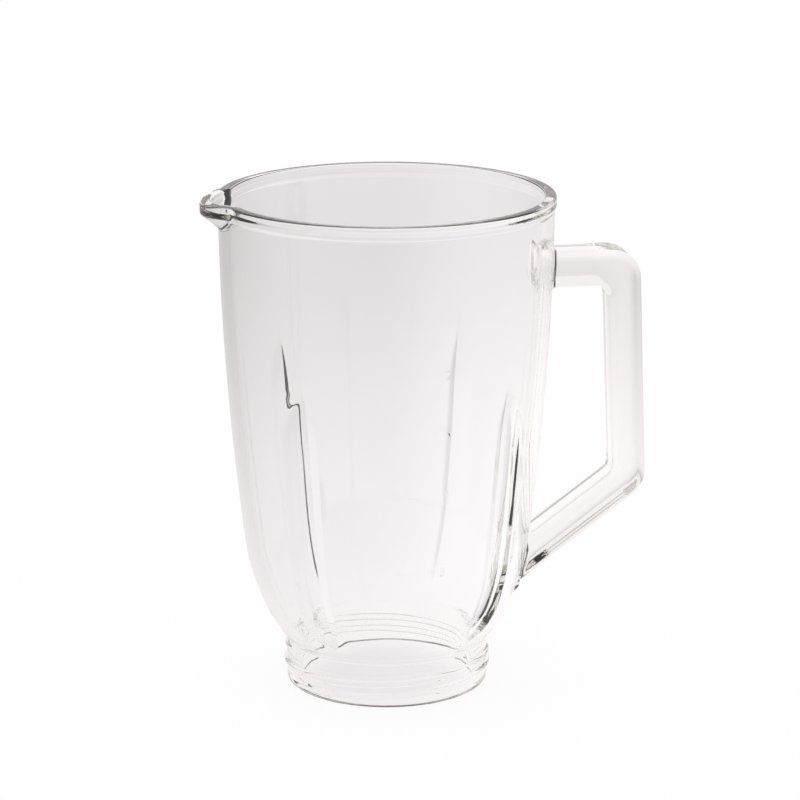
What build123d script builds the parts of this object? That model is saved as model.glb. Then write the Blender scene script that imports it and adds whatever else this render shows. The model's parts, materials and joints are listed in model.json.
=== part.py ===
"""Pressed-glass blender jar, one piece: a tapered round body with a beaded rim, a pouring lip,
a loop handle, four pointed flutes and an open, screw-threaded collar at the foot.

Frame: the jar's axis is Z and the foot stands on Z = 0. The handle points to +X, the pouring lip
to -X, and the side that faces the user is -Y. Lengths are millimetres, angles are degrees.
"""

import os
from math import cos, radians, sin, sqrt, tan

from build123d import *

# Body
jar_height = 210.0  # foot to rim
wall = 4.8  # glass thickness of the body and the rim
shoulder_radius = 60.0  # outside of the body where the shoulder ends and the tall wall begins
shoulder_height = 43.0  # height of the rounded shoulder above the collar
wall_bulge = 2.25  # how far the tall wall bows out from a straight taper

# Rim bead and pouring lip
rim_radius = 70.1  # outside of the bead
bead_proud = 0.6  # how far the bead stands out from the wall below it
bead_height = 5.0  # upright outside of the bead
rim_round = 1.9  # rounding of the rim's two edges
lip_reach = 7.0  # how far the lip stands out from the bead
lip_radius = 27.0  # outside radius of the lip, seen from above
lip_blend = 5.0  # hollow corner between the lip and the bead, seen from above
lip_slope = 45.0  # slope of the underside of the lip and the bead, from upright
lip_sink = 1.0  # how far the foot of the lip lies inside the wall

# Collar at the foot
collar_radius = 42.7
collar_height = 19.0
collar_wall = 5.7  # glass thickness of the collar, outside its bore
bore_round = 2.0  # rounding where the bore opens into the body
foot_round = 1.2
neck_round = 1.2  # rounding where the shoulder meets the collar

# Screw thread on the collar
thread_starts = 2
thread_lead = 11.0  # rise of a ridge in one turn
thread_turns = 1.0  # length of each ridge
thread_rise = 2.8  # height of the ridge's middle where it starts
thread_azimuth = 1.0  # where the first ridge starts, from the handle
thread_height = 1.1
thread_root_width = 4.4
thread_crest_width = 1.6
thread_crest_round = 0.5
thread_sink = 0.6  # how deep the ridge is rooted in the collar

# Flutes, V grooves outside with a rounded rib behind each one inside
flute_azimuth = 44.0  # heading of a flute's upright plane, from the plane of the handle
flute_aside = 7.4  # distance of that plane from the jar's axis
flute_drop = 71.8  # top tip below the rim
flute_rise = 7.0  # foot tip above the collar
flute_depth = 2.2
flute_run_out = 37.0  # height over which the groove runs out at its top
flute_half_angle = 79.0  # half of the groove's included angle
flute_reach = 1.0  # how far the groove's cutter reaches out past the body's outside
flute_overrun = 2.0  # how far the groove's cutter runs past each tip
rib_round = 14.0
rib_overrun = 12.0  # how far the rib runs past each tip, into the wall

# Handle, a flat loop with rounded edges
handle_width = 21.0  # across the loop
handle_thickness = 13.8  # in the plane of the loop
handle_drop = 25.4  # top of the upper arm below the rim
upper_arm_extra = 1.6  # how much thicker the upper arm is
handle_reach = 106.2  # outside of the grip at its top, from the axis
grip_lean = 4.2  # how much further out the grip is at its foot
lower_corner_rise = 62.6  # outside lower corner above the collar
lower_arm_slope = 36.5  # fall of the lower arm towards the body
handle_outer_round = 13.0
handle_inner_round = 6.0
handle_edge_round = 4.2
handle_root_blend = 2.5

# Heights and radii that follow from these
shoulder_z = collar_height + shoulder_height
bead_z = jar_height - bead_height
wall_top_radius = rim_radius - bead_proud
bore_radius = collar_radius - collar_wall  # clear opening for the blade holder

# Outline of the body's outside, as radius and height: the tall wall, and the shoulder that
# runs on from it down to the collar
with BuildLine() as outline:
    tall_wall = SagittaArc(
        (shoulder_radius, shoulder_z), (wall_top_radius, jar_height), -wall_bulge
    )
    shoulder = TangentArc(
        tall_wall @ 0, (collar_radius, collar_height), tangent=-(tall_wall % 0)
    )


def arc_radius_at(arc, height):
    """Radius from the jar's axis of an outline arc at a height."""
    centre = arc.arc_center
    return centre.X + sqrt(arc.radius**2 - (height - centre.Y) ** 2)


# Upright plane of a flute, beside the jar's axis, with X pointing out of the jar and Y up
flute_turn = radians(flute_azimuth)
flute_outward = Vector(cos(flute_turn), sin(flute_turn), 0)
flute_sideways = Vector(-sin(flute_turn), cos(flute_turn), 0)
flute_plane = Plane(
    origin=flute_sideways * flute_aside, x_dir=flute_outward, z_dir=-flute_sideways
)
flute_foot_z = collar_height + flute_rise
flute_top_z = jar_height - flute_drop
run_out_z = flute_top_z - flute_run_out
rib_apex = wall / sin(radians(flute_half_angle))


def flute_point(height, depth):
    """Point of a flute's plane, inside the body's outside by a depth."""
    arc = tall_wall if height > shoulder_z else shoulder
    return (sqrt(arc_radius_at(arc, height) ** 2 - flute_aside**2) - depth, height)


def flute_solid(apex_depth, apex_round, overrun):
    """V carried up along the root of the flute, its apex inside the root by a depth, four times."""
    with BuildLine() as root:
        groove = ThreePointArc(
            flute_point(flute_foot_z, 0),
            flute_point((flute_foot_z + run_out_z) / 2, flute_depth),
            flute_point(run_out_z, flute_depth),
        )
        run_out = TangentArc(
            groove @ 1, flute_point(flute_top_z, 0), tangent=groove % 1
        )
        Line(groove @ 0 - groove % 0 * overrun, groove @ 0)
        Line(run_out @ 1, run_out @ 1 + run_out % 1 * overrun)
    path = flute_plane * root.wires()[0]
    reach = flute_depth + flute_reach
    half_width = (reach + apex_depth) * tan(radians(flute_half_angle))
    with BuildPart() as solid:
        with BuildSketch(Plane(path @ 0, x_dir=-flute_sideways, z_dir=path % 0)) as v_shape:
            Polygon(
                (0, -apex_depth), (half_width, reach), (-half_width, reach), align=None
            )
            if apex_round:
                fillet(v_shape.vertices().sort_by(Axis.Y)[0], apex_round)
        sweep(path=path)
        mirror(about=Plane.XZ)
        mirror(about=Plane.YZ)
    return solid.part


# Pouring lip, an arc that stands out from the round bead
lip_axis = rim_radius + lip_reach - lip_radius
lip_depth = (lip_reach + bead_proud + lip_sink) / tan(radians(lip_slope))
mouth_z = bead_z + wall * tan(radians(lip_slope) / 2)


# Centre of the hollow corner between the lip and the bead, seen from above
corner_x = (
    (lip_radius + lip_blend) ** 2 - (rim_radius + lip_blend) ** 2 - lip_axis**2
) / (2 * lip_axis)
corner = Vector(corner_x, sqrt((rim_radius + lip_blend) ** 2 - corner_x**2))


def rim_outline(thickness):
    """Outline of the rim and its lip from above, moved in by a thickness of glass."""
    blend = lip_blend + thickness
    on_rim = corner - corner.normalized() * blend
    on_lip = corner - (corner - Vector(-lip_axis, 0)).normalized() * blend
    with BuildSketch(mode=Mode.PRIVATE) as outline_above:
        with BuildLine():
            lip_edge = ThreePointArc(
                on_lip, (-rim_radius - lip_reach + thickness, 0), (on_lip.X, -on_lip.Y)
            )
            TangentArc(lip_edge @ 1, (on_rim.X, -on_rim.Y), tangent=lip_edge % 1)
            rim_edge = ThreePointArc(
                (on_rim.X, -on_rim.Y), (rim_radius - thickness, 0), on_rim
            )
            TangentArc(rim_edge @ 1, on_lip, tangent=rim_edge % 1)
        make_face()
    return outline_above.sketch_local


# Hollow of the jar: the inside of the body and the bore, less the ribs, plus the lip's channel
shoulder_centre = shoulder.arc_center
inner_shoulder_arc = shoulder.radius - wall
bore_z = shoulder_centre.Y - sqrt(
    inner_shoulder_arc**2 - (bore_radius - shoulder_centre.X) ** 2
)

with BuildPart() as hollow:
    with BuildSketch(Plane.YZ) as hollow_profile:
        with BuildLine():
            wall_foot = tall_wall @ 0
            inward = (tall_wall.arc_center - wall_foot).normalized()
            inner_wall = TangentArc(
                wall_foot + inward * wall,
                (wall_top_radius - wall, jar_height),
                tangent=tall_wall % 0,
            )
            mouth_top = Line(inner_wall @ 1, (0, jar_height))
            axis_line = Line(mouth_top @ 1, (0, 0))
            bore_foot = Line(axis_line @ 1, (bore_radius, 0))
            bore = Line(bore_foot @ 1, (bore_radius, bore_z))
            TangentArc(inner_wall @ 0, bore @ 1, tangent=-(tall_wall % 0))
        make_face()
        fillet(hollow_profile.vertices().sort_by_distance(bore @ 1)[0], bore_round)
    revolve(axis=Axis.Z)
    add(flute_solid(rib_apex, rib_round, rib_overrun), mode=Mode.SUBTRACT)
    with BuildSketch(Plane.XY.offset(mouth_z)):
        add(rim_outline(wall))
    extrude(amount=jar_height - mouth_z)
    with BuildSketch(Plane.XY.offset(mouth_z)):
        add(rim_outline(wall))
    extrude(amount=-lip_depth, taper=lip_slope)

# Handle, cut as a flat loop and rounded along its edges; the hollow trims its roots
handle_top_z = jar_height - handle_drop
corner_radius = handle_reach + grip_lean
corner_z = collar_height + lower_corner_rise
root_z = corner_z - (corner_radius - bore_radius) * tan(radians(lower_arm_slope))


def loop_corners(top_z):
    """Corners of the handle's loop, with its upper arm at a height."""
    return [
        (bore_radius, top_z),
        (handle_reach, top_z),
        (corner_radius, corner_z),
        (bore_radius, root_z),
    ]


with BuildPart() as handle:
    with BuildSketch(Plane.XZ) as loop:
        Polygon(*loop_corners(handle_top_z), align=None)
        with BuildSketch(mode=Mode.PRIVATE) as finger_gap:
            Polygon(*loop_corners(handle_top_z - upper_arm_extra), align=None)
            offset(amount=-handle_thickness, kind=Kind.INTERSECTION)
            fillet(finger_gap.vertices().group_by(Axis.X)[1:], handle_inner_round)
        fillet(loop.vertices().group_by(Axis.X)[1:], handle_outer_round)
        add(finger_gap.sketch_local, mode=Mode.SUBTRACT)
    extrude(amount=handle_width / 2, both=True)
    fillet(handle.faces().filter_by(Axis.Y).edges(), handle_edge_round)

# Thread ridge, swept along the collar
thread_depth = thread_height + thread_sink

with BuildPart() as thread:
    with BuildLine(Plane.XY.offset(thread_rise)) as thread_path:
        Helix(thread_lead, thread_lead * thread_turns, collar_radius - thread_sink)
    ridge_plane = Plane(
        origin=thread_path.line @ 0, x_dir=(1, 0, 0), z_dir=thread_path.line % 0
    )
    with BuildSketch(ridge_plane) as ridge:
        with BuildLine():
            Polyline(
                (0, -thread_root_width / 2),
                (thread_depth, -thread_crest_width / 2),
                (thread_depth, thread_crest_width / 2),
                (0, thread_root_width / 2),
                close=True,
            )
        make_face()
        fillet(ridge.vertices().group_by(Axis.X)[-1], thread_crest_round)
    sweep(path=thread_path, is_frenet=True)

# Jar
with BuildPart() as glass_jar:
    with BuildSketch(Plane.YZ) as body_profile:
        with BuildLine():
            add(tall_wall)
            add(shoulder)
            Polyline(
                tall_wall @ 1,
                (0, jar_height),
                (0, 0),
                (collar_radius, 0),
                shoulder @ 1,
            )
        make_face()
        fillet(body_profile.vertices().sort_by_distance(shoulder @ 1)[0], neck_round)
    revolve(axis=Axis.Z)
    with BuildSketch(Plane.XY.offset(bead_z)):
        add(rim_outline(0))
    extrude(amount=bead_height)
    with BuildSketch(Plane.XY.offset(bead_z)):
        add(rim_outline(0))
    extrude(amount=-lip_depth, taper=lip_slope)
    add(handle.part)
    fillet(glass_jar.edges(Select.NEW), handle_root_blend)
    add(flute_solid(0, 0, flute_overrun), mode=Mode.SUBTRACT)
    add(hollow.part, mode=Mode.SUBTRACT)
    fillet(glass_jar.faces().sort_by(Axis.Z)[0].edges(), foot_round)
    with PolarLocations(0, thread_starts, start_angle=thread_azimuth):
        add(thread.part)
    fillet(glass_jar.faces().sort_by(Axis.Z)[-1].outer_wire().edges(), rim_round)
    fillet(glass_jar.faces().sort_by(Axis.Z)[-1].inner_wires()[0].edges(), rim_round)

glass_jar.part.label = "glass_jar"
os.makedirs("parts", exist_ok=True)
export_step(glass_jar.part, "parts/glass_jar.step")
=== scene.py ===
# %% [markdown]
# # A blender jar of pressed glass
# The jar is one piece of clear glass. It was pressed hot between a mould and a plunger, so the
# outside and the inside are two surfaces that follow each other, and every edge is softly rounded.
# This lesson builds it as one closed mesh, because light only bends properly through glass
# whose skin has no gaps, no doubled walls and no loose pieces inside it.

# %% Load the frame
import json
from math import atan2, cos, pi, radians, sin, sqrt, tan

import bmesh
import bpy
import numpy as np
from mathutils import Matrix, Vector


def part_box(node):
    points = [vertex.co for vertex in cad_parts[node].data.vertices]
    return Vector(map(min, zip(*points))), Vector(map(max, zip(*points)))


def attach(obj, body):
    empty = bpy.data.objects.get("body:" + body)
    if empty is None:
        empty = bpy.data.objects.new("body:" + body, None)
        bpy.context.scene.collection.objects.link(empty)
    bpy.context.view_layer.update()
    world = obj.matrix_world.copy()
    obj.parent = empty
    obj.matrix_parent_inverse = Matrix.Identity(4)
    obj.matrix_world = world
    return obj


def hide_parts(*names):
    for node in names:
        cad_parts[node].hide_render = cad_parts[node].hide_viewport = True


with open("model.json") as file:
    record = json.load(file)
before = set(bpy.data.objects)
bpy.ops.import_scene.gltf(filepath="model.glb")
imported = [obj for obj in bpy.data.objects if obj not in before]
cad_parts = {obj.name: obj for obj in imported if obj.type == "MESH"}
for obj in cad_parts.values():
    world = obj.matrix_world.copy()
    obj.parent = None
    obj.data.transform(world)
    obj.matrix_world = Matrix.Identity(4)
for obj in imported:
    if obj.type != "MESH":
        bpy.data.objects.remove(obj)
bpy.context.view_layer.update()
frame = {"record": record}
MM = 0.001

# %% [markdown]
# ## The camera
# A long lens from a little over a metre away keeps the jar's sides almost parallel, as in a
# catalogue picture. The camera looks down by about fifteen degrees, so the mouth shows as a flat
# ellipse. It is placed first, because every later choice is judged through it.

# %% Place the camera
camera_turn = radians(-9.0)  # round the jar from its front
camera_distance = 1214 * MM  # from the jar's axis, level
camera_height = 453.3 * MM
camera_pitch = radians(15.28)  # looking down
camera_aside = 5.6 * MM  # to its own right, which puts the jar left of the middle
lens_per_width = 3.75  # focal length over the picture's width

camera_data = bpy.data.cameras.new("Camera")
camera_data.sensor_width = 36
camera_data.lens = camera_data.sensor_width * lens_per_width
camera = bpy.data.objects.new("Camera", camera_data)
camera.location = (
    sin(camera_turn) * camera_distance + cos(camera_turn) * camera_aside,
    -cos(camera_turn) * camera_distance + sin(camera_turn) * camera_aside,
    camera_height,
)
camera.rotation_euler = (pi / 2 - camera_pitch, 0, camera_turn)
bpy.context.scene.collection.objects.link(camera)
bpy.context.scene.camera = camera
print("camera at", tuple(round(v, 3) for v in camera.location))

# %% [markdown]
# ## The sizes of the jar
# The height and the bore come from the frame, and most other sizes are the ones the solid was
# built from. A few, such as the rounding of the rim, are finer here. The wall's outline could be
# a curve drawn by eye. It is made of arcs instead, a tall, slightly bowed wall and a rounded
# shoulder that runs on from it down to the collar, so its radius is known at every height.

# %% Name the sizes and the wall's arcs
mounts = {mount["name"]: mount for mount in frame["record"]["mounts"]}
jar_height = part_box("glass_jar")[1].z
bore_radius = mounts["blade_opening"]["dims"]["r_mm"] * MM

wall = 4.8 * MM
shoulder_radius = 60 * MM
shoulder_height = 43 * MM
wall_bulge = 2.25 * MM
rim_radius = 70.1 * MM
bead_proud = 0.6 * MM
bead_height = 5 * MM
rim_round = 0.9 * MM
collar_wall = 5.7 * MM
collar_height = 19 * MM
bore_round = 2 * MM
foot_round = 1.2 * MM
neck_round = 1.2 * MM

collar_radius = bore_radius + collar_wall
shoulder_z = collar_height + shoulder_height
bead_z = jar_height - bead_height


class Arc:
    """An arc of the wall's outline: the radius from the jar's axis at each height."""

    def __init__(self, centre, size):
        self.centre = centre
        self.size = size

    @classmethod
    def through(cls, start, end, inward):
        """The arc from start to end whose centre lies straight inward of start."""
        chord = end - start
        size = chord @ chord / (2 * chord @ inward)
        return cls(start + inward * size, size)

    def radius(self, z):
        half_chord = np.sqrt(np.maximum(self.size**2 - (z - self.centre[1]) ** 2, 0))
        return self.centre[0] + half_chord


wall_foot = np.array([shoulder_radius, shoulder_z])
wall_head = np.array([rim_radius - bead_proud, jar_height])
wall_chord = wall_head - wall_foot
chord_length = np.hypot(*wall_chord)
chord_inward = np.array([-wall_chord[1], wall_chord[0]]) / chord_length
bow_size = chord_length**2 / (8 * wall_bulge) + wall_bulge / 2
tall_wall = Arc((wall_foot + wall_head) / 2 + chord_inward * (bow_size - wall_bulge), bow_size)
inward = (tall_wall.centre - wall_foot) / bow_size
shoulder = Arc.through(wall_foot, np.array([collar_radius, collar_height]), inward)
inner_wall = Arc.through(wall_foot + inward * wall, wall_head - np.array([wall, 0]), inward)
inner_shoulder = Arc(shoulder.centre, shoulder.size - wall)


def outside_radius(z):
    """Radius of the body's plain outside, above the collar."""
    return np.where(z > shoulder_z, tall_wall.radius(z), shoulder.radius(z))


def inside_radius(z):
    """Radius of the body's plain inside, above the bore."""
    joint_z = wall_foot[1] + inward[1] * wall
    return np.where(z > joint_z, inner_wall.radius(z), inner_shoulder.radius(z))


print("shoulder arc", round(shoulder.size / MM, 2), "mm, tall wall arc", round(bow_size / MM), "mm")

# %% [markdown]
# ## The rim and the pouring lip
# Seen from above, the rim is a circle with a small arc standing out of it for the lip, and a
# hollow corner on each side where one runs into the other. A turned rim with a few points pulled
# out would give a lip, but not an even one. Asking how far the outline is from the axis in each
# direction turns all of this into one formula. Moved in by an inset, the same formula gives the
# inner edge of the rim and the sloping underside of the lip.

# %% Outline of the rim and the lip
lip_reach = 7 * MM
lip_radius = 27 * MM
lip_blend = 5 * MM
lip_slope = radians(45)
mouth_z = bead_z + wall * tan(lip_slope / 2)
most_inset = 12 * MM  # the lip's underside is inside the wall by then

lip_axis = rim_radius + lip_reach - lip_radius
corner_reach = rim_radius + lip_blend
corner_x = (corner_reach**2 + lip_axis**2 - (lip_radius + lip_blend) ** 2) / (2 * lip_axis)
corner = np.array([corner_x, sqrt(corner_reach**2 - corner_x**2)])
lip_centre = np.array([lip_axis, 0])
corner_angle = atan2(corner[1], corner[0])


def circle_reach(angle, centre, size, far):
    """Distance along a ray from the axis to a circle, at its far or near side."""
    along = np.cos(angle) * centre[0] + np.sin(angle) * centre[1]
    half_chord = np.sqrt(np.maximum(along**2 - centre @ centre + size**2, 0))
    return along + half_chord if far else along - half_chord


def rim_reach(theta, inset):
    """Distance from the axis to the outline of the rim and the lip, moved in by an inset."""
    from_lip = np.abs(np.angle(np.exp(1j * (theta - pi))))
    blend = lip_blend + inset
    to_lip = (lip_centre - corner) / np.linalg.norm(lip_centre - corner)
    touch_angle = np.arctan2(corner[1] + to_lip[1] * blend, corner[0] + to_lip[0] * blend)
    return np.where(
        from_lip > corner_angle,
        rim_radius - inset,
        np.where(
            from_lip > touch_angle,
            circle_reach(from_lip, corner, blend, far=False),
            circle_reach(from_lip, lip_centre, lip_radius - inset, far=True),
        ),
    )


print("lip stands", round((rim_reach(np.array(pi), 0.0) - rim_radius) / MM, 2), "mm out of the rim")

# %% [markdown]
# ## The flutes
# Four leaf-shaped grooves run up the jar, and a very low rib follows each one on the inside, where
# it stirs the food. Each groove is a wide V carried up along an upright plane that passes a little
# beside the jar's axis, at an even depth that runs out to a point at both ends. A boolean cut with
# a bar would make it too, but would leave hard edges and thin faces that sparkle in glass. Here
# the two faces of the V and the wall are three formulas for a radius. The greatest and the least
# of them, with the corner between them slightly rounded, give the groove as a hot mould leaves it.

# %% Path of a flute's root
flute_azimuth = radians(44.0)  # heading of the upright plane, from the plane of the handle
flute_aside = 9.1 * MM  # distance of that plane from the jar's axis
flute_depth = 1.75 * MM
flute_foot_z = collar_height + 7 * MM
flute_top_z = jar_height - 71.8 * MM
run_out = 26 * MM  # height over which the depth runs out at the top
run_in = 14 * MM  # and at the foot
growth_step = 0.1 * MM
sample_z = 60 * MM  # height at which sizes are printed


def flute_share(z):
    """Share of the full depth at a height: even, and running out at both ends."""
    from_ends = np.minimum((flute_top_z - z) / run_out, (z - flute_foot_z) / run_in)
    from_ends = np.minimum(from_ends, 1)
    return from_ends * (2 - from_ends)


def root_distance(z):
    """Distance of the flute's root along its plane."""
    return np.sqrt(outside_radius(z) ** 2 - flute_aside**2) - flute_depth * flute_share(z)


def root_reach(z):
    """Distance of the flute's root along its plane, and how that grows with height."""
    growth = (root_distance(z + growth_step) - root_distance(z - growth_step)) / (2 * growth_step)
    return float(root_distance(z)), float(growth)


print("root", round(root_reach(sample_z)[0] / MM, 2), "mm from the axis at", sample_z / MM, "mm up")

# %% Formula of the flutes and ribs
flute_half_angle = radians(78.7)  # half of the V's included angle
flute_root_round = 0.03 * MM
rib_height = 0.2 * MM
rib_half_width = 8 * MM


def smooth_min(a, b, size):
    """The lesser of two values, with the corner between them rounded over a size."""
    share = np.clip(0.5 + 0.5 * (b - a) / size, 0, 1)
    return b + (a - b) * share - size * share * (1 - share)


def smooth_max(a, b, size):
    """The greater of two values, rounded in the same way."""
    return -smooth_min(-a, -b, size)


def fold(theta):
    """Angles round the jar, folded into the quarter between the handle and the back."""
    return np.arctan2(np.abs(np.sin(theta)), np.abs(np.cos(theta)))


def face_rise(growth):
    """Radius that a face of the V gains for each length aside."""
    return sqrt(1 + growth**2) / tan(flute_half_angle)


def groove_radius(theta, z):
    """Radius of the nearest V groove."""
    reach, growth = root_reach(z)
    rise = face_rise(growth)
    heading = fold(theta) - flute_azimuth
    far_face = (reach - rise * flute_aside) / (np.cos(heading) - rise * np.sin(heading))
    near_face = (reach + rise * flute_aside) / (np.cos(heading) + rise * np.sin(heading))
    return smooth_max(far_face, near_face, flute_root_round)


def rib_rise(theta, z):
    """How far the soft rib behind a flute stands into the jar."""
    reach = float(root_distance(z))
    aside = (fold(theta) - flute_azimuth - atan2(flute_aside, reach)) * reach
    across = np.cos(np.clip(aside / rib_half_width, -1, 1) * pi / 2) ** 2
    return rib_height * max(float(flute_share(z)), 0) * across


def flute_angles(z):
    """Angles of a flute's near edge, root and far edge, in the first quarter, at a height."""
    z = np.clip(z, flute_foot_z, flute_top_z)
    reach, growth = root_reach(z)
    rise = face_rise(growth)
    whole = float(outside_radius(z)) * sqrt(1 + rise**2)
    far = np.arccos(min((reach - rise * flute_aside) / whole, 1)) - np.arctan(rise)
    near = np.arctan(rise) - np.arccos(min((reach + rise * flute_aside) / whole, 1))
    return flute_azimuth + np.array([near, np.arctan2(flute_aside, reach), far])


near, root, far = flute_angles(sample_z)
print("flute", round((far - near) * shoulder_radius / MM, 1), "mm wide")

# %% [markdown]
# ## One grid for the whole body
# The body is a ring-shaped grid. Its rows go up the outside, over the rim, down the inside and
# back under the foot, and its columns go once round the jar. The columns bunch up along the
# edges and the root of each flute and follow them as they widen, so that these lines stay
# crisp with few faces. A lathe tool would give the same rows but could not bend its columns.

# %% Helpers for the rows of the grid
def corner_round(radius, arc, size):
    """The rounding between a tube and the shoulder above it: its centre, and its upper end."""
    reach = arc.size + size
    across = radius + size - arc.centre[0]
    centre = np.array([radius + size, arc.centre[1] - sqrt(reach**2 - across**2)])
    return centre, arc.centre + (centre - arc.centre) * arc.size / reach


def turn(centre, size, start, end, count):
    """Rows along an arc of the profile, between two angles in degrees."""
    angles = np.radians(np.linspace(start, end, count))
    return np.stack([centre[0] + size * np.cos(angles), centre[1] + size * np.sin(angles)], 1)


def heights(*stretches):
    """Heights in stretches of (start, end, step), each end given once."""
    parts = []
    for start, end, step in stretches:
        count = int(round(abs(end - start) / step)) + 1
        parts.append(np.linspace(start, end, count)[1:])
    return np.concatenate(parts)


def slope_angle(centre, point):
    """Heading of a point from a centre, in degrees."""
    return np.degrees(atan2(point[1] - centre[1], point[0] - centre[0]))


def flat_rows(radius, z):
    """Rows at given heights, at one radius or at one each."""
    return np.stack([np.broadcast_to(radius, z.shape), z], 1)


neck_centre, neck_end = corner_round(collar_radius, shoulder, neck_round)
bore_centre, bore_end = corner_round(bore_radius, inner_shoulder, bore_round)
print("collar ends", round(neck_end[1] / MM, 2), "mm up, bore", round(bore_end[1] / MM, 2), "mm up")

# %% Rows of the grid
shoulder_zone_z = 31 * MM  # rows lie closer together below this
flute_zone_z = 140 * MM  # and further apart above this, where the wall is plain
lip_zone_z = jar_height - 17 * MM
rim_edge_z = jar_height - rim_round

foot_rows = turn((collar_radius - foot_round, foot_round), foot_round, -90, 0, 6)
collar_rows = flat_rows(collar_radius, np.linspace(foot_round, neck_centre[1], 8)[1:-1])
neck_rows = turn(neck_centre, neck_round, 180, slope_angle(neck_centre, neck_end) % 360, 6)
outer_z = heights(
    (neck_end[1], shoulder_zone_z, 1.2 * MM),
    (shoulder_zone_z, flute_zone_z, 1.9 * MM),
    (flute_zone_z, lip_zone_z, 3.5 * MM),
    (lip_zone_z, rim_edge_z, 0.5 * MM),
)
outer_rows = flat_rows(outside_radius(outer_z), outer_z)
inner_z = heights(
    (rim_edge_z, lip_zone_z, 0.6 * MM),
    (lip_zone_z, flute_zone_z, 4 * MM),
    (flute_zone_z, shoulder_zone_z, 2.3 * MM),
    (shoulder_zone_z, bore_end[1], 1.5 * MM),
)
inner_rows = flat_rows(inside_radius(inner_z), inner_z)
bore_rows = turn(bore_centre, bore_round, slope_angle(bore_centre, bore_end), 180, 7)[1:]
tube_rows = flat_rows(bore_radius, np.linspace(bore_centre[1], foot_round, 7)[1:])
sill_rows = turn((bore_radius + foot_round, foot_round), foot_round, 180, 270, 6)[1:]
print("rows outside", len(outer_rows), "inside", len(inner_rows))

# %% Columns of the grid
# Shares of the way from a flute's root to its edge, which is at 1
inside_flute = [0, 0.03, 0.07, 0.14, 0.26, 0.42, 0.58, 0.72, 0.83, 0.9, 0.945, 0.975]
past_edge = [1, 1.025, 1.06, 1.12, 1.22, 1.4]
flute_columns = np.array(inside_flute + past_edge)
narrowest = radians(1.7)  # least width of half a flute's columns, above and below the flutes
side_counts = [30, 96, 30, 44]  # between the flutes: back, lip, front, handle


def columns(z):
    """Angles of all columns on a row at a height, once round the jar."""
    near, root, far = flute_angles(z)
    before = root - flute_columns[:0:-1] * max(root - near, narrowest)
    after = root + flute_columns * max(far - root, narrowest)
    quarter = np.concatenate([before, after])
    flutes = [quarter, pi - quarter[::-1], pi + quarter, 2 * pi - quarter[::-1]]
    angles = []
    for flute, following, count in zip(flutes, flutes[1:] + [flutes[0] + 2 * pi], side_counts):
        angles.append(flute)
        angles.append(np.linspace(flute[-1], following[0], count + 2)[1:-1])
    return np.concatenate(angles)


print("columns", len(columns(sample_z)))

# %% Radii of the rows
flute_near_round = 0.3 * MM  # rounding of the edge nearer the handle's plane
flute_far_round = 0.03 * MM  # the other edge is crisp at the front, and soft at the back
back_share = 0.65  # depth of the two flutes at the back, which show only as pale bands
bead_soft = 0.8 * MM
lip_soft = 1.0 * MM
channel_soft = 1.2 * MM
rim_steps = 8


def outer_ring(row):
    """Radii of an outside row, with the flutes, the bead and the lip pressed in."""
    plain_radius, z = row
    theta = columns(z)
    radius = np.full_like(theta, plain_radius)
    if z > neck_end[1]:
        at_back = np.sin(theta) > 0
        lost_depth = (1 - back_share) * flute_depth * max(float(flute_share(z)), 0)
        groove = groove_radius(theta, z) + np.where(at_back, lost_depth, 0)
        soft_edge = at_back | (fold(theta) < flute_angles(z)[1])
        edge_round = np.where(soft_edge, flute_near_round, flute_far_round)
        radius = smooth_min(radius, groove, edge_round)
    if z >= lip_zone_z:
        inset = smooth_max(0.0, min(bead_z - z, most_inset), bead_soft)
        radius = smooth_max(radius, rim_reach(theta, inset), lip_soft)
    return theta, radius, np.full_like(theta, z)


def inner_ring(row):
    """Radii of an inside row, with the ribs, the mouth and the lip's channel."""
    plain_radius, z = row
    theta = columns(z)
    radius = np.full_like(theta, plain_radius)
    if z > bore_end[1]:
        radius = radius - rib_rise(theta, z)
    if z >= lip_zone_z:
        inset = wall + smooth_max(0.0, min(mouth_z - z, most_inset), channel_soft)
        radius = smooth_max(radius, rim_reach(theta, inset), channel_soft)
    return theta, radius, np.full_like(theta, z)


def rim_ring(start_inset, side, angle):
    """Radii of a row on the rim's rounded top: an edge's start, its side and the angle round it."""
    z = jar_height - rim_round * (1 - sin(angle))
    theta = columns(z)
    inset = start_inset + side * rim_round * (1 - cos(angle))
    return theta, rim_reach(theta, inset), np.full_like(theta, z)


outside = np.concatenate([foot_rows, collar_rows, neck_rows, outer_rows])
inside = np.concatenate([inner_rows, bore_rows, tube_rows, sill_rows])
rim_angles = np.radians(np.linspace(0, 90, rim_steps))
rings = [outer_ring(row) for row in outside]
rings += [rim_ring(0.0, 1, angle) for angle in rim_angles[1:]]
rings += [rim_ring(wall, -1, angle) for angle in rim_angles[::-1]]
rings += [inner_ring(row) for row in inside]
theta, radius, level = (np.array(part) for part in zip(*rings))
body_points = np.stack([radius * np.cos(theta), radius * np.sin(theta), level], -1)
print(len(rings), "rows, from", round(radius.min() / MM, 1), "to", round(radius.max() / MM, 1), "mm")

# %% Dip the tip of the lip, which guides the stream
dip_start = 66 * MM  # from the axis
dip_bend = 31 * MM
dip_height = 14 * MM

beyond = np.maximum(-body_points[..., 0] - dip_start, 0)
share = np.clip((level - jar_height) / dip_height + 1, 0, 1)
body_points[..., 2] -= share * beyond**2 / (2 * dip_bend)
top_heights = body_points[..., 2][np.isclose(level, jar_height)]
print("lip dips", round((jar_height - top_heights.min()) / MM, 2), "mm")

# %% Make the body
def ring_faces(count, size, closed):
    """Quads between rings of points, and from the last ring to the first if closed."""
    last = count if closed else count - 1
    faces = []
    for i in range(last):
        for j in range(size):
            a = i * size + j
            b = i * size + (j + 1) % size
            c = ((i + 1) % count) * size
            faces.append((a, b, c + (j + 1) % size, c + j))
    return faces


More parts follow.
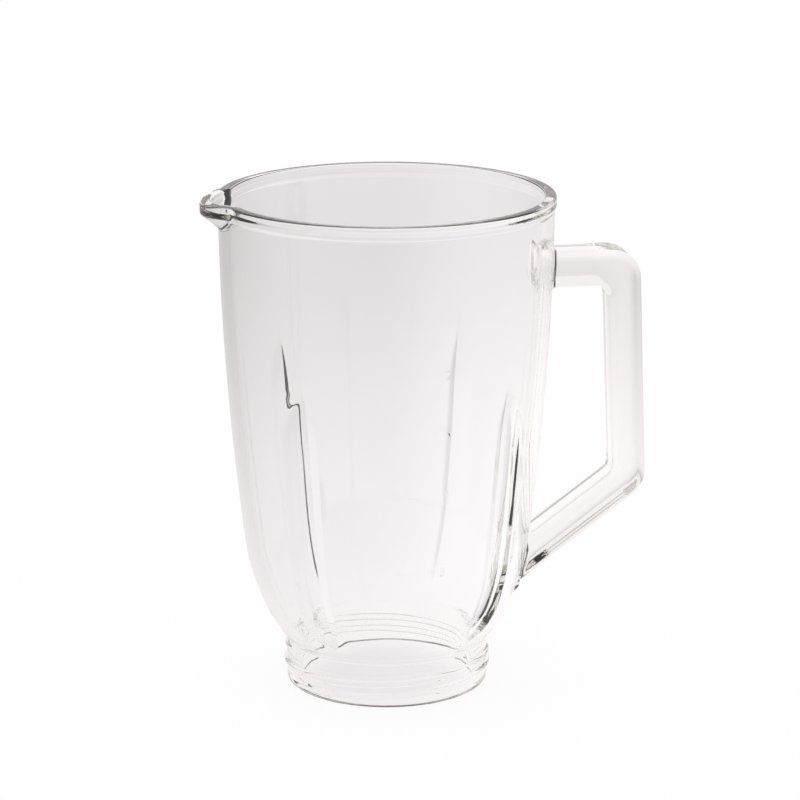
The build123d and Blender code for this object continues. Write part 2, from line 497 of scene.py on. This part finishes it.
def new_piece(name, points, faces):
    """A mesh object with its faces turned outwards."""
    mesh = bpy.data.meshes.new(name)
    mesh.from_pydata([tuple(p) for p in np.reshape(points, (-1, 3))], [], faces)
    shape = bmesh.new()
    shape.from_mesh(mesh)
    bmesh.ops.recalc_face_normals(shape, faces=shape.faces)
    if shape.calc_volume(signed=True) < 0:
        bmesh.ops.reverse_faces(shape, faces=shape.faces)
    shape.to_mesh(mesh)
    shape.free()
    piece = bpy.data.objects.new(name, mesh)
    bpy.context.scene.collection.objects.link(piece)
    return piece


body_faces = ring_faces(body_points.shape[0], body_points.shape[1], closed=True)
jar = new_piece("pressed_jar", body_points, body_faces)
print("body", len(body_faces), "quads")

# %% [markdown]
# ## The handle
# The handle is a flat loop of glass, about as thick as a thumb, with rounded edges. It leaves
# the body level, turns down into the grip and comes back in on a slope. A bevelled curve could
# make the loop, but would meet the wall in a hard line. Here a rounded section is carried along
# the loop, and each of its lines starts inside the wall and swells where it comes out, which
# gives the soft blend of glass poured as one piece.

# %% Section of the handle
handle_width = 21 * MM
handle_thickness = 13.8 * MM
handle_edge_round = 4.2 * MM
edge_points = 8

# The four corners of the section: on which side across and along it, and where their arcs start
section_turns = [(1, 1, 0), (-1, 1, 90), (-1, -1, 180), (1, -1, 270)]
section = []
for across, along_y, start in section_turns:
    for angle in np.radians(np.linspace(start, start + 90, edge_points)):
        section.append((across, along_y, cos(angle), sin(angle)))
section = np.array(section)


def loop_ring(outer, inner):
    """One section of the handle, between a point of the outer and of the inner outline."""
    across = (outer - inner) / np.linalg.norm(outer - inner)
    half = np.linalg.norm(outer - inner) / 2 - handle_edge_round
    half_width = handle_width / 2 - handle_edge_round
    middle = (outer + inner) / 2
    reach = section[:, 0] * half + section[:, 2] * handle_edge_round
    aside = section[:, 1] * half_width + section[:, 3] * handle_edge_round
    return np.stack([middle[0] + across[0] * reach, aside, middle[1] + across[1] * reach], 1)


print("handle section of", len(section), "points")

# %% Outline of the handle's loop
handle_top_z = jar_height - 25.4 * MM
upper_arm_extra = 1.6 * MM
handle_reach = 106.2 * MM
grip_lean = 4.2 * MM
grip_foot_z = collar_height + 62.6 * MM
arm_slope = radians(36.5)
arm_length = 100 * MM  # reaches past the wall

arm_run = np.array([cos(arm_slope), sin(arm_slope)])
loop_outer = [
    np.array([0.0, handle_top_z]),
    np.array([handle_reach, handle_top_z]),
    np.array([handle_reach + grip_lean, grip_foot_z]),
]
loop_outer.append(loop_outer[2] - arm_run * arm_length)


def inset_run(start, end, thickness):
    """A run of the loop, moved in by a thickness."""
    run = (end - start) / np.linalg.norm(end - start)
    return start + np.array([run[1], -run[0]]) * thickness, run


def meet(first, second):
    """Point where two runs cross."""
    (a, u), (b, v) = first, second
    share = np.linalg.solve(np.stack([u, -v], 1), b - a)
    return a + u * share[0]


run_thickness = [handle_thickness + upper_arm_extra, handle_thickness, handle_thickness]
runs = [inset_run(*ends) for ends in zip(loop_outer, loop_outer[1:], run_thickness)]
loop_inner = [runs[0][0], meet(runs[0], runs[1]), meet(runs[1], runs[2])]
loop_inner.append(loop_inner[2] - arm_run * arm_length)
finger_gap = loop_inner[1][0] - float(outside_radius(loop_inner[1][1]))
print("finger gap", round(finger_gap / MM, 1), "mm deep")

# %% Roots of the handle
root_blend = 2.5 * MM
root_zone = 9 * MM  # sections lie close together along this much of the root
root_sections = 34
arm_sections = 5
deepest_root = 90 * MM
halvings = 40
steepest_blend = 0.995  # most of the blend's size that is used, so that no face stands upright
buried = wall / 2


def root_lines(ring, run, across):
    """Sections of the handle from inside the wall out to a ring, swelling at the wall."""
    run3 = np.array([run[0], 0, run[1]])
    low = np.full(len(ring), -deepest_root)
    high = np.zeros(len(ring))
    for _ in range(halvings):
        middle = (low + high) / 2
        point = ring + middle[:, None] * run3
        inside = np.hypot(point[:, 0], point[:, 1]) < outside_radius(point[:, 2]) - buried
        low = np.where(inside, middle, low)
        high = np.where(inside, high, middle)
    close = np.linspace(0, root_zone, root_sections) / (-high).min()
    shares = np.concatenate([close, np.linspace(close[-1], 1, arm_sections + 2)[1:-1]])
    normal = np.stack([section[:, 2] * across[0], section[:, 3], section[:, 2] * across[1]], 1)
    rings = []
    for share in shares:
        point = ring + (high * (1 - share))[:, None] * run3
        gap = np.hypot(point[:, 0], point[:, 1]) - outside_radius(point[:, 2])
        left = np.minimum(root_blend - np.clip(gap, 0, root_blend), steepest_blend * root_blend)
        swell = root_blend - np.sqrt(root_blend**2 - left**2)
        rings.append(point + normal * swell[:, None])
    return rings


def cap_centre(ring):
    """Middle of a buried end, on the surface inside the wall."""
    centre = ring.mean(0)
    reach = outside_radius(centre[2]) - buried
    return np.array([*(centre[:2] * reach / np.hypot(*centre[:2])), centre[2]])


print("roots start", round(buried / MM, 1), "mm inside the wall")

# %% Carry the section along the loop
outer_corner = 13 * MM
inner_corner = 6 * MM
corner_points = 14
grip_sections = 10


def corner_arc(before, point, after, size):
    """Points of the arc that rounds a corner of the loop, from one run to the next."""
    back = (before - point) / np.linalg.norm(before - point)
    ahead = (after - point) / np.linalg.norm(after - point)
    half = np.arccos(np.clip(back @ ahead, -1, 1)) / 2
    middle = point + (back + ahead) / np.linalg.norm(back + ahead) * size / sin(half)
    start = point + back * size / tan(half) - middle
    end = point + ahead * size / tan(half) - middle
    shares = np.linspace(0, 1, corner_points)[:, None]
    whole = np.arccos(np.clip(start @ end / size**2, -1, 1))
    blend = np.sin((1 - shares) * whole) * start + np.sin(shares * whole) * end
    return middle + blend / sin(whole)


outer_arcs = [corner_arc(*loop_outer[i : i + 3], outer_corner) for i in (0, 1)]
inner_arcs = [corner_arc(*loop_inner[i : i + 3], inner_corner) for i in (0, 1)]
upper_ring = loop_ring(outer_arcs[0][0], inner_arcs[0][0])
lower_ring = loop_ring(outer_arcs[1][-1], inner_arcs[1][-1])
level_run = np.array([1.0, 0.0])
handle_rings = root_lines(upper_ring, level_run, np.array([0.0, 1.0]))
handle_rings += [loop_ring(a, b) for a, b in zip(outer_arcs[0], inner_arcs[0])]
for share in np.linspace(0, 1, grip_sections + 2)[1:-1]:
    outer = outer_arcs[0][-1] + (outer_arcs[1][0] - outer_arcs[0][-1]) * share
    inner = inner_arcs[0][-1] + (inner_arcs[1][0] - inner_arcs[0][-1]) * share
    handle_rings.append(loop_ring(outer, inner))
handle_rings += [loop_ring(a, b) for a, b in zip(outer_arcs[1], inner_arcs[1])]
handle_rings += root_lines(lower_ring, arm_run, np.array([arm_run[1], -arm_run[0]]))[::-1]

ring_size = len(section)
caps = [cap_centre(handle_rings[0]), cap_centre(handle_rings[-1])]
handle_points = np.concatenate([*handle_rings, caps])
handle_faces = ring_faces(len(handle_rings), ring_size, closed=False)
last_ring = (len(handle_rings) - 1) * ring_size
for j in range(ring_size):
    after = (j + 1) % ring_size
    handle_faces.append((after, j, len(handle_points) - 2))
    handle_faces.append((last_ring + j, last_ring + after, len(handle_points) - 1))
handle = new_piece("handle_loop", handle_points, handle_faces)
print("handle", len(handle_faces), "faces in", len(handle_rings), "sections")

# %% [markdown]
# ## The screw thread
# Two ridges wind up the collar, each one turn long, and carry the blade holder. A screw modifier
# could wind one of them, but its ends would stop bluntly. A ridge follows a path and is repeated,
# which is work for geometry nodes: a spiral, a four-sided section carried along it and shrunk into
# the collar at both ends, and one copy for each start.

# %% Helpers for node trees
def add_node(tree, kind, settings=None, inputs=None):
    """Adds a node, sets its properties, and fills or links its inputs by name or place."""
    node = tree.nodes.new(kind)
    for key, value in (settings or {}).items():
        setattr(node, key, value)
    for key, value in (inputs or {}).items():
        if isinstance(value, bpy.types.NodeSocket):
            tree.links.new(value, node.inputs[key])
        else:
            node.inputs[key].default_value = value
    return node


def new_tree(name, sizes):
    """A geometry node tree with a geometry input and named sizes; returns it and its input node."""
    tree = bpy.data.node_groups.new(name, "GeometryNodeTree")
    tree.interface.new_socket("Geometry", in_out="INPUT", socket_type="NodeSocketGeometry")
    tree.interface.new_socket("Geometry", in_out="OUTPUT", socket_type="NodeSocketGeometry")
    for label, kind in sizes.items():
        tree.interface.new_socket(label, in_out="INPUT", socket_type=kind)
    return tree, tree.nodes.new("NodeGroupInput")


def finish_tree(tree, geometry, material):
    """Ends a tree by making its copies real and giving them their material."""
    real = add_node(tree, "GeometryNodeRealizeInstances", None, {"Geometry": geometry})
    painted = add_node(
        tree, "GeometryNodeSetMaterial", None, {"Geometry": real.outputs[0], "Material": material}
    )
    add_node(tree, "NodeGroupOutput", None, {"Geometry": painted.outputs[0]})


def plain_mesh(piece):
    """The mesh that a piece's modifiers, or its text, come to."""
    return bpy.data.meshes.new_from_object(
        piece.evaluated_get(bpy.context.evaluated_depsgraph_get())
    )


def grow(name, points, tree, sizes):
    """Runs a tree on a few points and returns the result as a plain mesh object."""
    seed = new_piece(name, points, [])
    modifier = seed.modifiers.new(tree.name, "NODES")
    modifier.node_group = tree
    for item in tree.interface.items_tree:
        if item.in_out == "INPUT" and item.name in sizes:
            modifier[item.identifier] = sizes[item.name]
    mesh = plain_mesh(seed)
    seed.modifiers.remove(modifier)
    seed.data = mesh
    return seed


glass = bpy.data.materials.new("pressed_soda_lime_glass")
print("material", glass.name)

# %% Path and section of the thread
thread_height = 1.1 * MM
thread_root_width = 4.4 * MM
thread_crest_width = 1.6 * MM
thread_edge_round = 0.45 * MM
thread_sink = 0.6 * MM
thread_end_share = 0.2  # size of a ridge's ends, which are inside the collar
points_per_turn = 150

tree, given = new_tree(
    "Screw thread",
    {
        "Starts": "NodeSocketInt",
        "Path radius": "NodeSocketFloat",
        "Turns": "NodeSocketFloat",
        "Climb": "NodeSocketFloat",
        "First angle": "NodeSocketFloat",
        "Run out": "NodeSocketFloat",
    },
)
spiral = add_node(
    tree,
    "GeometryNodeCurveSpiral",
    None,
    {
        "Resolution": points_per_turn,
        "Rotations": given.outputs["Turns"],
        "Start Radius": given.outputs["Path radius"],
        "End Radius": given.outputs["Path radius"],
        "Height": given.outputs["Climb"],
        "Reverse": True,
    },
)
standing = add_node(
    tree, "GeometryNodeSetCurveNormal", {"mode": "Z_UP"}, {"Curve": spiral.outputs[0]}
)
half_root = thread_root_width / 2
half_crest = thread_crest_width / 2
crest = thread_height + thread_sink
ridge = add_node(
    tree,
    "GeometryNodeCurvePrimitiveQuadrilateral",
    {"mode": "POINTS"},
    {
        "Point 1": (0, -half_root, 0),
        "Point 2": (crest, -half_crest, 0),
        "Point 3": (crest, half_crest, 0),
        "Point 4": (0, half_root, 0),
    },
)
rounded = add_node(
    tree,
    "GeometryNodeFilletCurve",
    {"mode": "POLY"},
    {"Curve": ridge.outputs[0], "Count": 3, "Radius": thread_edge_round, "Limit Radius": True},
)
along = add_node(tree, "GeometryNodeSplineParameter")
to_end = add_node(
    tree, "ShaderNodeMath", {"operation": "SUBTRACT"}, {0: 1.0, 1: along.outputs["Factor"]}
)
nearer = add_node(
    tree,
    "ShaderNodeMath",
    {"operation": "MINIMUM"},
    {0: along.outputs["Factor"], 1: to_end.outputs[0]},
)
swell = add_node(
    tree,
    "ShaderNodeMapRange",
    {"interpolation_type": "SMOOTHSTEP"},
    {
        "Value": nearer.outputs[0],
        "From Max": given.outputs["Run out"],
        "To Min": thread_end_share,
    },
)
swept = add_node(
    tree,
    "GeometryNodeCurveToMesh",
    None,
    {
        "Curve": standing.outputs[0],
        "Profile Curve": rounded.outputs[0],
        "Scale": swell.outputs[0],
        "Fill Caps": True,
    },
)
print("thread nodes so far", len(tree.nodes))

# %% Wind the thread
thread_starts = 2
thread_lead = 11 * MM
thread_turns = 1.0
thread_rise = 2.8 * MM
thread_azimuth = radians(1)
thread_run_out = 0.05  # share of a ridge that each end takes to sink into the collar

copies = add_node(tree, "GeometryNodePoints", None, {"Count": given.outputs["Starts"]})
number = add_node(tree, "GeometryNodeInputIndex")
step = add_node(
    tree, "ShaderNodeMath", {"operation": "DIVIDE"}, {0: 2 * pi, 1: given.outputs["Starts"]}
)
angle = add_node(
    tree,
    "ShaderNodeMath",
    {"operation": "MULTIPLY_ADD"},
    {0: number.outputs[0], 1: step.outputs[0], 2: given.outputs["First angle"]},
)
spin = add_node(tree, "ShaderNodeCombineXYZ", None, {"Z": angle.outputs[0]})
ridges = add_node(
    tree,
    "GeometryNodeInstanceOnPoints",
    None,
    {"Points": copies.outputs[0], "Instance": swept.outputs[0], "Rotation": spin.outputs[0]},
)
lifted = add_node(
    tree,
    "GeometryNodeTransform",
    None,
    {"Geometry": ridges.outputs[0], "Translation": (0, 0, thread_rise)},
)
finish_tree(tree, lifted.outputs[0], glass)
thread = grow(
    "thread_ridges",
    [(0, 0, 0)],
    tree,
    {
        "Starts": thread_starts,
        "Path radius": collar_radius - thread_sink,
        "Turns": thread_turns,
        "Climb": thread_lead * thread_turns,
        "First angle": thread_azimuth,
        "Run out": thread_run_out,
    },
)
thread_points = np.array([v.co for v in thread.data.vertices])
thread_reach = np.hypot(thread_points[:, 0], thread_points[:, 1]).max()
print("thread crest", round(2 * thread_reach / MM, 2), "mm across")
print("thread from", (thread_points.min(0) / MM).round(1), "to", (thread_points.max(0) / MM).round(1))

# %% [markdown]
# ## The measuring scale
# Five short bars and five numbers stand a fraction of a millimetre out of the wall, where the
# mould was engraved. A bump in the material could hint at them, but only real relief bends light
# at its edges. The bars are one block repeated by geometry nodes and turned to face outwards. The
# numbers start as flat text and are wrapped round the wall point by point.

# %% Place the bars
scale_levels = {
    "1.5 L": 172 * MM,
    "1.2": 149 * MM,
    "0.9": 125.5 * MM,
    "0.6": 97 * MM,
    "0.3": 64.5 * MM,
}
mark_proud = 0.1 * MM
mark_sink = 0.4 * MM
bar_length = 7.6 * MM
bar_height = 0.75 * MM
bar_angle = radians(-1.1)  # the bars' middle, from the front of the jar towards the handle
front = -pi / 2

bar_points = []
for z in scale_levels.values():
    reach = float(outside_radius(z)) + (mark_proud - mark_sink) / 2
    bar_points.append((reach * cos(front + bar_angle), reach * sin(front + bar_angle), z))

tree, given = new_tree(
    "Scale bars",
    {"Length": "NodeSocketFloat", "Height": "NodeSocketFloat", "Depth": "NodeSocketFloat"},
)
bar_size = add_node(
    tree,
    "ShaderNodeCombineXYZ",
    None,
    {"X": given.outputs["Length"], "Y": given.outputs["Depth"], "Z": given.outputs["Height"]},
)
bar = add_node(
    tree, "GeometryNodeMeshCube", None, {"Size": bar_size.outputs[0], "Vertices X": 5}
)
place = add_node(tree, "GeometryNodeInputPosition")
level_out = add_node(
    tree, "ShaderNodeVectorMath", {"operation": "MULTIPLY"}, {0: place.outputs[0], 1: (1, 1, 0)}
)
facing = add_node(
    tree,
    "FunctionNodeAlignRotationToVector",
    {"axis": "Y", "pivot_axis": "Z"},
    {"Vector": level_out.outputs[0]},
)
bars = add_node(
    tree,
    "GeometryNodeInstanceOnPoints",
    None,
    {
        "Points": given.outputs["Geometry"],
        "Instance": bar.outputs[0],
        "Rotation": facing.outputs[0],
    },
)
finish_tree(tree, bars.outputs[0], glass)
scale_bars = grow(
    "scale_bars",
    bar_points,
    tree,
    {"Length": bar_length, "Height": bar_height, "Depth": mark_proud + mark_sink},
)
print(len(scale_bars.data.polygons) // len(bar_points), "faces in each of", len(bar_points), "bars")

# %% Wrap the numbers round the wall
number_height = 4.3 * MM
font_size = number_height * 1.4  # a font's size is more than the height of its figures
number_proud = 0.03 * MM
number_start = radians(7.8)  # the numbers' left edge, from the front of the jar
same_point = 0.01 * MM


def wrapped_number(label, z):
    """A raised number on the wall, its foot half its height below a level."""
    letters = bpy.data.curves.new(label, "FONT")
    letters.body = label
    letters.size = font_size
    letters.extrude = 0.5  # any depth will do, because only its two sides are told apart below
    letters.resolution_u = 4
    flat = bpy.data.objects.new(label, letters)
    bpy.context.scene.collection.objects.link(flat)
    mesh = plain_mesh(flat)
    bpy.data.objects.remove(flat)
    shape = bmesh.new()
    shape.from_mesh(mesh)
    bmesh.ops.remove_doubles(shape, verts=shape.verts, dist=same_point)
    for vertex in shape.verts:
        across, up, depth = vertex.co
        level = z + up - number_height / 2
        wall_radius = float(outside_radius(level))
        reach = wall_radius + (number_proud if depth > 0 else -mark_sink)
        angle = front + number_start + across / wall_radius
        vertex.co = (reach * cos(angle), reach * sin(angle), level)
    bmesh.ops.recalc_face_normals(shape, faces=shape.faces)
    shape.to_mesh(mesh)
    shape.free()
    number = bpy.data.objects.new("number_" + label, mesh)
    bpy.context.scene.collection.objects.link(number)
    return number


numbers = [wrapped_number(label, z) for label, z in scale_levels.items()]
print("numbers", [number.name for number in numbers])

# %% [markdown]
# ## One skin
# A jar moulded in one piece has one skin. Pieces that are only joined would keep their hidden
# walls, which show in glass. A boolean union melts the handle, the thread and the scale into the
# body and throws away what was hidden inside the wall, so a ray of light meets glass only where
# there is glass. The volume is printed, to be set against the solid's.

# %% Melt the pieces together
crease_angle = radians(38)  # edges sharper than this aren't shaded smooth


def melt(base, pieces):
    """Unites closed pieces with a base, one after the other, and removes them."""
    for piece in pieces:
        modifier = base.modifiers.new("Union", "BOOLEAN")
        modifier.operation = "UNION"
        modifier.solver = "MANIFOLD"
        modifier.object = piece
        mesh = plain_mesh(base)
        base.modifiers.remove(modifier)
        base.data = mesh
        bpy.data.objects.remove(piece)


melt(jar, [handle, thread, scale_bars, *numbers])
jar.data.materials.clear()
jar.data.materials.append(glass)
for polygon in jar.data.polygons:
    polygon.use_smooth = True
    polygon.material_index = 0
jar.data.set_sharp_from_angle(angle=crease_angle)

shape = bmesh.new()
shape.from_mesh(jar.data)
open_edges = sum(1 for edge in shape.edges if len(edge.link_faces) != 2)
volume = shape.calc_volume(signed=True) / MM**3 / 1000
shape.free()
print("open edges", open_edges, "volume", round(volume, 1), "cm3")
jar.data.calc_loop_triangles()
print("triangles", len(jar.data.loop_triangles))

# %% [markdown]
# ## The glass
# Clear soda-lime glass bends light by about 1.52, is smooth, and has a breath of olive green in
# its depth from traces of iron, which shows where the eye looks along a wall. Pressed glass is
# never quite flat: a very low, wide waviness makes reflections tremble. A glass shader alone would
# bend the light, but a tint on its skin would be as strong in a thin wall as in a thick one. So
# the skin is white, and the volume inside takes the light away.

# %% Glass
def linear(hex_colour):
    """An sRGB hex colour as the linear RGBA that shaders use."""
    parts = [int(hex_colour[i : i + 2], 16) / 255 for i in (1, 3, 5)]
    return (*(c / 12.92 if c <= 0.04045 else ((c + 0.055) / 1.055) ** 2.4 for c in parts), 1.0)


white = linear("#FFFFFF")
iron_tint = linear("#ADAF8C")
tint_density = 5.0  # for each metre of glass
glass_ior = 1.52
ripple_spacing = 14 * MM
ripple_height = 0.08 * MM
ripple_strength = 0.25

glass.use_nodes = True
tree = glass.node_tree
tree.nodes.clear()
where = add_node(tree, "ShaderNodeTexCoord")
waves = add_node(
    tree,
    "ShaderNodeTexNoise",
    None,
    {
        "Vector": where.outputs["Object"],
        "Scale": 1 / ripple_spacing,
        "Detail": 1.0,
        "Roughness": 0.4,
    },
)
ripple = add_node(
    tree,
    "ShaderNodeBump",
    None,
    {"Height": waves.outputs[0], "Strength": ripple_strength, "Distance": ripple_height},
)
surface = add_node(
    tree,
    "ShaderNodeBsdfPrincipled",
    None,
    {
        "Base Color": white,
        "Roughness": 0.0,
        "IOR": glass_ior,
        "Transmission Weight": 1.0,
        "Normal": ripple.outputs[0],
    },
)
depth = add_node(
    tree, "ShaderNodeVolumeAbsorption", None, {"Color": iron_tint, "Density": tint_density}
)
add_node(
    tree,
    "ShaderNodeOutputMaterial",
    None,
    {"Surface": surface.outputs[0], "Volume": depth.outputs[0]},
)
print("glass nodes", len(tree.nodes))

# %% [markdown]
# ## The studio
# Glass has no colour of its own to show, so it is drawn by what stands round it. Lamps would draw
# bright spots on it, so a white tent and a glowing floor of paper give all the light. The tent's
# slight tint makes the clear middle of the jar pale, and its open front is darker and draws the
# grey lines. Towards the camera the paper is plain white, as an overexposed background is. The
# small share of it that doesn't glow keeps a faint shadow. Under the jar the glow itself is dimmed
# a little, which is a painted shadow.

# %% Floor
tent_colour = linear("#FFFAFC")
paper_colour = linear("#F2F2F2")
paper_share = 0.12  # of the floor, which takes light and shadow and doesn't glow
camera_glow = 1.04  # of the rest, for the camera: both together come to white
floor_half = 12.0

floor_corners = [(-floor_half, -floor_half, 0), (floor_half, -floor_half, 0)]
floor_corners += [(floor_half, floor_half, 0), (-floor_half, floor_half, 0)]
floor_mesh = bpy.data.meshes.new("floor")
floor_mesh.from_pydata(floor_corners, [], [(0, 1, 2, 3)])
floor = bpy.data.objects.new("floor", floor_mesh)
bpy.context.scene.collection.objects.link(floor)

paper = bpy.data.materials.new("white_paper_sweep")
floor_mesh.materials.append(paper)
paper.use_nodes = True
tree = paper.node_tree
tree.nodes.clear()
ray = add_node(tree, "ShaderNodeLightPath")
place = add_node(tree, "ShaderNodeTexCoord")
parts = add_node(tree, "ShaderNodeSeparateXYZ", None, {0: place.outputs["Object"]})
from_axis = add_node(
    tree, "ShaderNodeVectorMath", {"operation": "LENGTH"}, {0: place.outputs["Object"]}
)

# What each gradient follows, where it starts and ends in metres, and the light at both ends
gradients = [
    (parts.outputs["X"], -0.3, 0.3, 0.68, 1.02),  # brighter towards the right
    (parts.outputs["Y"], -1.6, -0.3, 0.5, 1.25),  # darker far in front
    (parts.outputs["Y"], -0.2, 0.9, 1.0, 0.68),  # darker far behind
    # The last gradient is a painted shadow: the floor's glow is dimmed under the jar, where the jar
    # shades it.
    (from_axis.outputs["Value"], 0.02, 0.043, 0.88, 1.0),  # a little darker under the jar
]
light = 1.0
for follows, start, end, start_light, end_light in gradients:
    gradient = add_node(
        tree,
        "ShaderNodeMapRange",
        {"interpolation_type": "SMOOTHSTEP"},
        {
            "Value": follows,
            "From Min": start,
            "From Max": end,
            "To Min": start_light,
            "To Max": end_light,
        },
    )
    product = add_node(
        tree, "ShaderNodeMath", {"operation": "MULTIPLY"}, {0: light, 1: gradient.outputs[0]}
    )
    light = product.outputs[0]

glow_strength = add_node(
    tree,
    "ShaderNodeMix",
    {"data_type": "FLOAT"},
    {0: ray.outputs["Is Camera Ray"], 2: light, 3: camera_glow},
)
glow_colour = add_node(
    tree,
    "ShaderNodeMix",
    {"data_type": "RGBA"},
    {0: ray.outputs["Is Camera Ray"], 6: tent_colour, 7: white},
)
glow = add_node(
    tree,
    "ShaderNodeEmission",
    None,
    {"Color": glow_colour.outputs[2], "Strength": glow_strength.outputs[0]},
)
matte = add_node(tree, "ShaderNodeBsdfDiffuse", None, {"Color": paper_colour})
lit = add_node(
    tree, "ShaderNodeMixShader", None, {0: paper_share, 1: glow.outputs[0], 2: matte.outputs[0]}
)
add_node(tree, "ShaderNodeOutputMaterial", None, {"Surface": lit.outputs[0]})
print("floor", 2 * floor_half, "m wide, with", len(gradients), "gradients")

# %% Tent
front_light = 0.5
wall_light = 0.97
roof_light = 0.8
camera_light = 1.0

world = bpy.data.worlds.new("light_tent")
bpy.context.scene.world = world
world.use_nodes = True
tree = world.node_tree
tree.nodes.clear()
ray = add_node(tree, "ShaderNodeLightPath")
direction = add_node(tree, "ShaderNodeTexCoord")
parts = add_node(tree, "ShaderNodeSeparateXYZ", None, {0: direction.outputs["Generated"]})
open_front = add_node(
    tree,
    "ShaderNodeMapRange",
    {"interpolation_type": "SMOOTHSTEP"},
    {
        "Value": parts.outputs["Y"],
        "From Min": -0.95,
        "From Max": -0.3,
        "To Min": front_light,
        "To Max": wall_light,
    },
)
roof = add_node(
    tree,
    "ShaderNodeMapRange",
    {"interpolation_type": "SMOOTHSTEP"},
    {"Value": parts.outputs["Z"], "From Min": 0.5, "From Max": 0.95},
)
walls_and_roof = add_node(
    tree,
    "ShaderNodeMix",
    {"data_type": "FLOAT"},
    {0: roof.outputs[0], 2: open_front.outputs[0], 3: roof_light},
)
shown = add_node(
    tree,
    "ShaderNodeMix",
    {"data_type": "FLOAT"},
    {0: ray.outputs["Is Camera Ray"], 2: walls_and_roof.outputs[0], 3: camera_light},
)
tent = add_node(
    tree, "ShaderNodeBackground", None, {"Color": tent_colour, "Strength": shown.outputs[0]}
)
add_node(tree, "ShaderNodeOutputWorld", None, {"Surface": tent.outputs[0]})

# Light crosses many skins of glass before it reaches the eye, so rays may turn more often
cycles = bpy.context.scene.cycles
cycles.max_bounces = 32
cycles.transmission_bounces = 32
cycles.glossy_bounces = 16
view_settings = bpy.context.scene.view_settings
view_settings.view_transform = "Standard"
print("rays turn up to", cycles.max_bounces, "times")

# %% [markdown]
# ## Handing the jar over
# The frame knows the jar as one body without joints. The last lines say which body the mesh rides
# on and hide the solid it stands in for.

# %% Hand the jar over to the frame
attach(jar, "root")
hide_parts("glass_jar")
